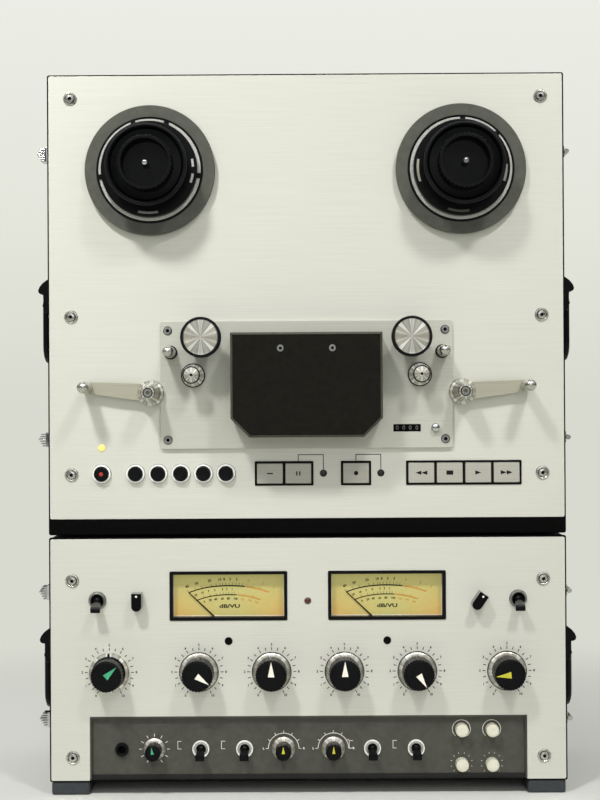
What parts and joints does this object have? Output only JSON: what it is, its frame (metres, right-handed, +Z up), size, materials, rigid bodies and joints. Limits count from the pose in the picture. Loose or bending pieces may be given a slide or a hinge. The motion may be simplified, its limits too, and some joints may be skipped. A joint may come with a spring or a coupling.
{
  "type": "reel-to-reel tape deck",
  "caption": "Portable reel-to-reel tape deck: a transport case with reel tables, tension arms and a head cover, stacked on a recording amplifier case with meters and knobs.",
  "frame": {"origin": "centre of the object's bounding box in X and Y, at the underside of the skids", "axes": "+Z up, +X to the viewer's right, the front faces -Y"},
  "size_m": [0.4816, 0.256, 0.628],
  "materials": {
    "black_plastic": "moulded, satin",
    "black_vinyl": "vinyl-covered case",
    "brown_enamel": "satin enamel",
    "brushed_aluminium": "brushed, clear anodized",
    "charcoal_enamel": "satin enamel",
    "olive_enamel": "satin enamel",
    "plated_steel": "nickel plated",
    "roller_rubber": "ground rubber",
    "satin_key": "satin grey plastic with a light rim"
  },
  "bodies": {
    "cabinet": {"deck_case": "black_vinyl", "deck_panel": "brushed_aluminium", "head_plate": "brushed_aluminium", "transport_chassis": "plated_steel", "amp_case": "black_vinyl", "amp_panel": "brushed_aluminium", "control_chassis": "charcoal_enamel", "meter_pair": "black_plastic"},
    "reel_table_left": {"reel_table_left": "olive_enamel"},
    "idler_left": {"idler_left": "black_plastic"},
    "tension_arm_left": {"tension_arm_left": "plated_steel"},
    "deck_handle_left": {"deck_handle_left": "black_plastic"},
    "reel_table_right": {"reel_table_right": "olive_enamel"},
    "idler_right": {"idler_right": "black_plastic"},
    "tension_arm_right": {"tension_arm_right": "plated_steel"},
    "deck_handle_right": {"deck_handle_right": "black_plastic"},
    "head_cover": {"head_cover": "brown_enamel"},
    "capstan": {"capstan": "plated_steel"},
    "pinch_arm": {"pinch_arm": "plated_steel"},
    "pinch_roller": {"pinch_roller": "roller_rubber"},
    "counter_reset": {"counter_reset": "plated_steel"},
    "power_button": {"power_button": "black_plastic"},
    "reel_size_button": {"reel_size_button": "black_plastic"},
    "auto_play_button": {"auto_play_button": "black_plastic"},
    "speed_high_button": {"speed_high_button": "black_plastic"},
    "speed_mid_button": {"speed_mid_button": "black_plastic"},
    "speed_low_button": {"speed_low_button": "black_plastic"},
    "cue_key": {"cue_key": "satin_key"},
    "pause_key": {"pause_key": "satin_key"},
    "record_key": {"record_key": "satin_key"},
    "rewind_key": {"rewind_key": "satin_key"},
    "stop_key": {"stop_key": "satin_key"},
    "play_key": {"play_key": "satin_key"},
    "forward_key": {"forward_key": "satin_key"},
    "needle_left": {"needle_left": "black_plastic"},
    "needle_right": {"needle_right": "black_plastic"},
    "amp_handle_left": {"amp_handle_left": "black_plastic"},
    "amp_handle_right": {"amp_handle_right": "black_plastic"},
    "playback_head_toggle": {"playback_head_toggle": "black_plastic"},
    "monitor_toggle": {"monitor_toggle": "black_plastic"},
    "equalizer_selector": {"equalizer_selector": "black_plastic"},
    "meter_selector": {"meter_selector": "black_plastic"},
    "playback_ring": {"playback_ring": "brushed_aluminium"},
    "playback_knob": {"playback_knob": "black_plastic"},
    "input_1_knob": {"input_1_knob": "black_plastic"},
    "input_2_knob": {"input_2_knob": "black_plastic"},
    "input_3_knob": {"input_3_knob": "black_plastic"},
    "input_4_knob": {"input_4_knob": "black_plastic"},
    "master_knob": {"master_knob": "black_plastic"},
    "phones_knob": {"phones_knob": "black_plastic"},
    "pan_knob_left": {"pan_knob_left": "black_plastic"},
    "pan_knob_right": {"pan_knob_right": "black_plastic"},
    "input_1_toggle": {"input_1_toggle": "black_plastic"},
    "input_2_toggle": {"input_2_toggle": "black_plastic"},
    "input_3_toggle": {"input_3_toggle": "black_plastic"},
    "input_4_toggle": {"input_4_toggle": "black_plastic"},
    "bias_trimmer_left": {"bias_trimmer_left": "black_plastic"},
    "bias_trimmer_right": {"bias_trimmer_right": "black_plastic"},
    "eq_trimmer_left": {"eq_trimmer_left": "black_plastic"},
    "eq_trimmer_right": {"eq_trimmer_right": "black_plastic"}
  },
  "joints": [
    {"name": "reel_left_spin", "type": "hinge", "parent": "cabinet", "child": "reel_table_left", "pos_m": [-0.135, -0.076, 0.5434], "axis": [0, 1, 0], "continuous": true},
    {"name": "idler_left_spin", "type": "hinge", "parent": "cabinet", "child": "idler_left", "pos_m": [-0.09, -0.076, 0.397], "axis": [0, 1, 0], "continuous": true},
    {"name": "reel_right_spin", "type": "hinge", "parent": "cabinet", "child": "reel_table_right", "pos_m": [0.135, -0.076, 0.5434], "axis": [0, 1, 0], "continuous": true},
    {"name": "idler_right_spin", "type": "hinge", "parent": "cabinet", "child": "idler_right", "pos_m": [0.09, -0.076, 0.397], "axis": [0, 1, 0], "continuous": true},
    {"name": "tension_left_swing", "type": "hinge", "parent": "cabinet", "child": "tension_arm_left", "pos_m": [-0.135, -0.076, 0.35], "axis": [0, 1, 0], "range_deg": [0, 40], "stiffness_Nm_per_rad": 0.06, "springref_deg": -22.92},
    {"name": "tension_right_swing", "type": "hinge", "parent": "cabinet", "child": "tension_arm_right", "pos_m": [0.135, -0.076, 0.35], "axis": [0, -1, 0], "range_deg": [0, 40], "stiffness_Nm_per_rad": 0.06, "springref_deg": -22.92},
    {"name": "head_cover_lift", "type": "hinge", "parent": "cabinet", "child": "head_cover", "pos_m": [0, -0.0833, 0.3986], "axis": [-1, 0, 0], "range_deg": [0, 90]},
    {"name": "capstan_spin", "type": "hinge", "parent": "cabinet", "child": "capstan", "pos_m": [0.038, -0.076, 0.3608], "axis": [0, 1, 0], "continuous": true},
    {"name": "pinch_swing", "type": "hinge", "parent": "cabinet", "child": "pinch_arm", "pos_m": [0.01, -0.076, 0.33], "axis": [0, -1, 0], "range_deg": [0, 9], "stiffness_Nm_per_rad": 0.2, "springref_deg": -8.59},
    {"name": "pinch_roller_spin", "type": "hinge", "parent": "pinch_arm", "child": "pinch_roller", "pos_m": [0.03992, -0.076, 0.33994], "axis": [0, 1, 0], "continuous": true},
    {"name": "power_press", "type": "slide", "parent": "cabinet", "child": "power_button", "axis": [0, 1, 0], "range_m": [0, 0.003], "stiffness_N_per_m": 150},
    {"name": "reel_size_press", "type": "slide", "parent": "cabinet", "child": "reel_size_button", "axis": [0, 1, 0], "range_m": [0, 0.003], "stiffness_N_per_m": 150},
    {"name": "auto_play_press", "type": "slide", "parent": "cabinet", "child": "auto_play_button", "axis": [0, 1, 0], "range_m": [0, 0.003], "stiffness_N_per_m": 150},
    {"name": "speed_high_press", "type": "slide", "parent": "cabinet", "child": "speed_high_button", "axis": [0, 1, 0], "range_m": [0, 0.003], "stiffness_N_per_m": 150},
    {"name": "speed_mid_press", "type": "slide", "parent": "cabinet", "child": "speed_mid_button", "axis": [0, 1, 0], "range_m": [0, 0.003], "stiffness_N_per_m": 150},
    {"name": "speed_low_press", "type": "slide", "parent": "cabinet", "child": "speed_low_button", "axis": [0, 1, 0], "range_m": [0, 0.003], "stiffness_N_per_m": 150},
    {"name": "cue_press", "type": "slide", "parent": "cabinet", "child": "cue_key", "axis": [0, 1, 0], "range_m": [0, 0.003], "stiffness_N_per_m": 200},
    {"name": "pause_press", "type": "slide", "parent": "cabinet", "child": "pause_key", "axis": [0, 1, 0], "range_m": [0, 0.003], "stiffness_N_per_m": 200},
    {"name": "record_press", "type": "slide", "parent": "cabinet", "child": "record_key", "axis": [0, 1, 0], "range_m": [0, 0.003], "stiffness_N_per_m": 200},
    {"name": "rewind_press", "type": "slide", "parent": "cabinet", "child": "rewind_key", "axis": [0, 1, 0], "range_m": [0, 0.003], "stiffness_N_per_m": 200},
    {"name": "stop_press", "type": "slide", "parent": "cabinet", "child": "stop_key", "axis": [0, 1, 0], "range_m": [0, 0.003], "stiffness_N_per_m": 200},
    {"name": "play_press", "type": "slide", "parent": "cabinet", "child": "play_key", "axis": [0, 1, 0], "range_m": [0, 0.003], "stiffness_N_per_m": 200},
    {"name": "forward_press", "type": "slide", "parent": "cabinet", "child": "forward_key", "axis": [0, 1, 0], "range_m": [0, 0.003], "stiffness_N_per_m": 200},
    {"name": "reset_press", "type": "slide", "parent": "cabinet", "child": "counter_reset", "axis": [0, 1, 0], "range_m": [0, 0.0025], "stiffness_N_per_m": 120},
    {"name": "needle_left_swing", "type": "hinge", "parent": "cabinet", "child": "needle_left", "pos_m": [-0.069, -0.076, 0.142], "axis": [0, 1, 0], "range_deg": [0, 93], "stiffness_Nm_per_rad": 0.0002, "springref_deg": -11.46},
    {"name": "needle_right_swing", "type": "hinge", "parent": "cabinet", "child": "needle_right", "pos_m": [0.069, -0.076, 0.142], "axis": [0, 1, 0], "range_deg": [0, 93], "stiffness_Nm_per_rad": 0.0002, "springref_deg": -11.46},
    {"name": "deck_handle_left_swing", "type": "hinge", "parent": "cabinet", "child": "deck_handle_left", "pos_m": [-0.2343, 0.02, 0.4295], "axis": [0, 1, 0], "range_deg": [0, 100]},
    {"name": "deck_handle_right_swing", "type": "hinge", "parent": "cabinet", "child": "deck_handle_right", "pos_m": [0.2343, 0.02, 0.4295], "axis": [0, -1, 0], "range_deg": [0, 100]},
    {"name": "amp_handle_left_swing", "type": "hinge", "parent": "cabinet", "child": "amp_handle_left", "pos_m": [-0.2343, 0.02, 0.116], "axis": [0, 1, 0], "range_deg": [0, 100]},
    {"name": "amp_handle_right_swing", "type": "hinge", "parent": "cabinet", "child": "amp_handle_right", "pos_m": [0.2343, 0.02, 0.116], "axis": [0, -1, 0], "range_deg": [0, 100]},
    {"name": "playback_ring_turn", "type": "hinge", "parent": "cabinet", "child": "playback_ring", "pos_m": [-0.173, -0.076, 0.107], "axis": [0, 1, 0], "range_deg": [-150, 150]},
    {"name": "playback_turn", "type": "hinge", "parent": "cabinet", "child": "playback_knob", "pos_m": [-0.173, -0.076, 0.107], "axis": [0, 1, 0], "range_deg": [-197, 103]},
    {"name": "input_1_turn", "type": "hinge", "parent": "cabinet", "child": "input_1_knob", "pos_m": [-0.095, -0.076, 0.107], "axis": [0, 1, 0], "range_deg": [-275, 25]},
    {"name": "input_2_turn", "type": "hinge", "parent": "cabinet", "child": "input_2_knob", "pos_m": [-0.0317, -0.076, 0.107], "axis": [0, 1, 0], "range_deg": [-150, 150]},
    {"name": "input_3_turn", "type": "hinge", "parent": "cabinet", "child": "input_3_knob", "pos_m": [0.0317, -0.076, 0.107], "axis": [0, 1, 0], "range_deg": [-150, 150]},
    {"name": "input_4_turn", "type": "hinge", "parent": "cabinet", "child": "input_4_knob", "pos_m": [0.095, -0.076, 0.107], "axis": [0, 1, 0], "range_deg": [-298, 2]},
    {"name": "master_turn", "type": "hinge", "parent": "cabinet", "child": "master_knob", "pos_m": [0.173, -0.076, 0.107], "axis": [0, 1, 0], "range_deg": [-54, 246]},
    {"name": "phones_turn", "type": "hinge", "parent": "cabinet", "child": "phones_knob", "pos_m": [-0.1344, -0.076, 0.0393], "axis": [0, 1, 0], "range_deg": [-142, 158]},
    {"name": "pan_left_turn", "type": "hinge", "parent": "cabinet", "child": "pan_knob_left", "pos_m": [-0.0217, -0.076, 0.0393], "axis": [0, 1, 0], "range_deg": [-150, 150]},
    {"name": "pan_right_turn", "type": "hinge", "parent": "cabinet", "child": "pan_knob_right", "pos_m": [0.0217, -0.076, 0.0393], "axis": [0, 1, 0], "range_deg": [-150, 150]},
    {"name": "bias_trimmer_left_turn", "type": "hinge", "parent": "cabinet", "child": "bias_trimmer_left", "pos_m": [0.1334, -0.076, 0.0556], "axis": [0, 1, 0], "range_deg": [-150, 150]},
    {"name": "bias_trimmer_right_turn", "type": "hinge", "parent": "cabinet", "child": "bias_trimmer_right", "pos_m": [0.1598, -0.076, 0.0556], "axis": [0, 1, 0], "range_deg": [-150, 150]},
    {"name": "eq_trimmer_left_turn", "type": "hinge", "parent": "cabinet", "child": "eq_trimmer_left", "pos_m": [0.1334, -0.076, 0.0256], "axis": [0, 1, 0], "range_deg": [-150, 150]},
    {"name": "eq_trimmer_right_turn", "type": "hinge", "parent": "cabinet", "child": "eq_trimmer_right", "pos_m": [0.1598, -0.076, 0.0256], "axis": [0, 1, 0], "range_deg": [-150, 150]},
    {"name": "equalizer_turn", "type": "hinge", "parent": "cabinet", "child": "equalizer_selector", "pos_m": [-0.148, -0.076, 0.1657], "axis": [0, 1, 0], "range_deg": [-45, 45]},
    {"name": "meter_select_turn", "type": "hinge", "parent": "cabinet", "child": "meter_selector", "pos_m": [0.1463, -0.076, 0.1657], "axis": [0, 1, 0], "range_deg": [-70, 0]},
    {"name": "playback_head_flip", "type": "hinge", "parent": "cabinet", "child": "playback_head_toggle", "pos_m": [-0.1831, -0.0765, 0.1695], "axis": [-1, 0, 0], "range_deg": [0, 50]},
    {"name": "monitor_flip", "type": "hinge", "parent": "cabinet", "child": "monitor_toggle", "pos_m": [0.1831, -0.0765, 0.1695], "axis": [-1, 0, 0], "range_deg": [0, 50]},
    {"name": "input_1_flip", "type": "hinge", "parent": "cabinet", "child": "input_1_toggle", "pos_m": [-0.0939, -0.0725, 0.0393], "axis": [-1, 0, 0], "range_deg": [0, 30]},
    {"name": "input_2_flip", "type": "hinge", "parent": "cabinet", "child": "input_2_toggle", "pos_m": [-0.05575, -0.0725, 0.0393], "axis": [-1, 0, 0], "range_deg": [0, 30]},
    {"name": "input_3_flip", "type": "hinge", "parent": "cabinet", "child": "input_3_toggle", "pos_m": [0.05575, -0.0725, 0.0393], "axis": [-1, 0, 0], "range_deg": [0, 30]},
    {"name": "input_4_flip", "type": "hinge", "parent": "cabinet", "child": "input_4_toggle", "pos_m": [0.0939, -0.0725, 0.0393], "axis": [-1, 0, 0], "range_deg": [0, 30]}
  ]
}
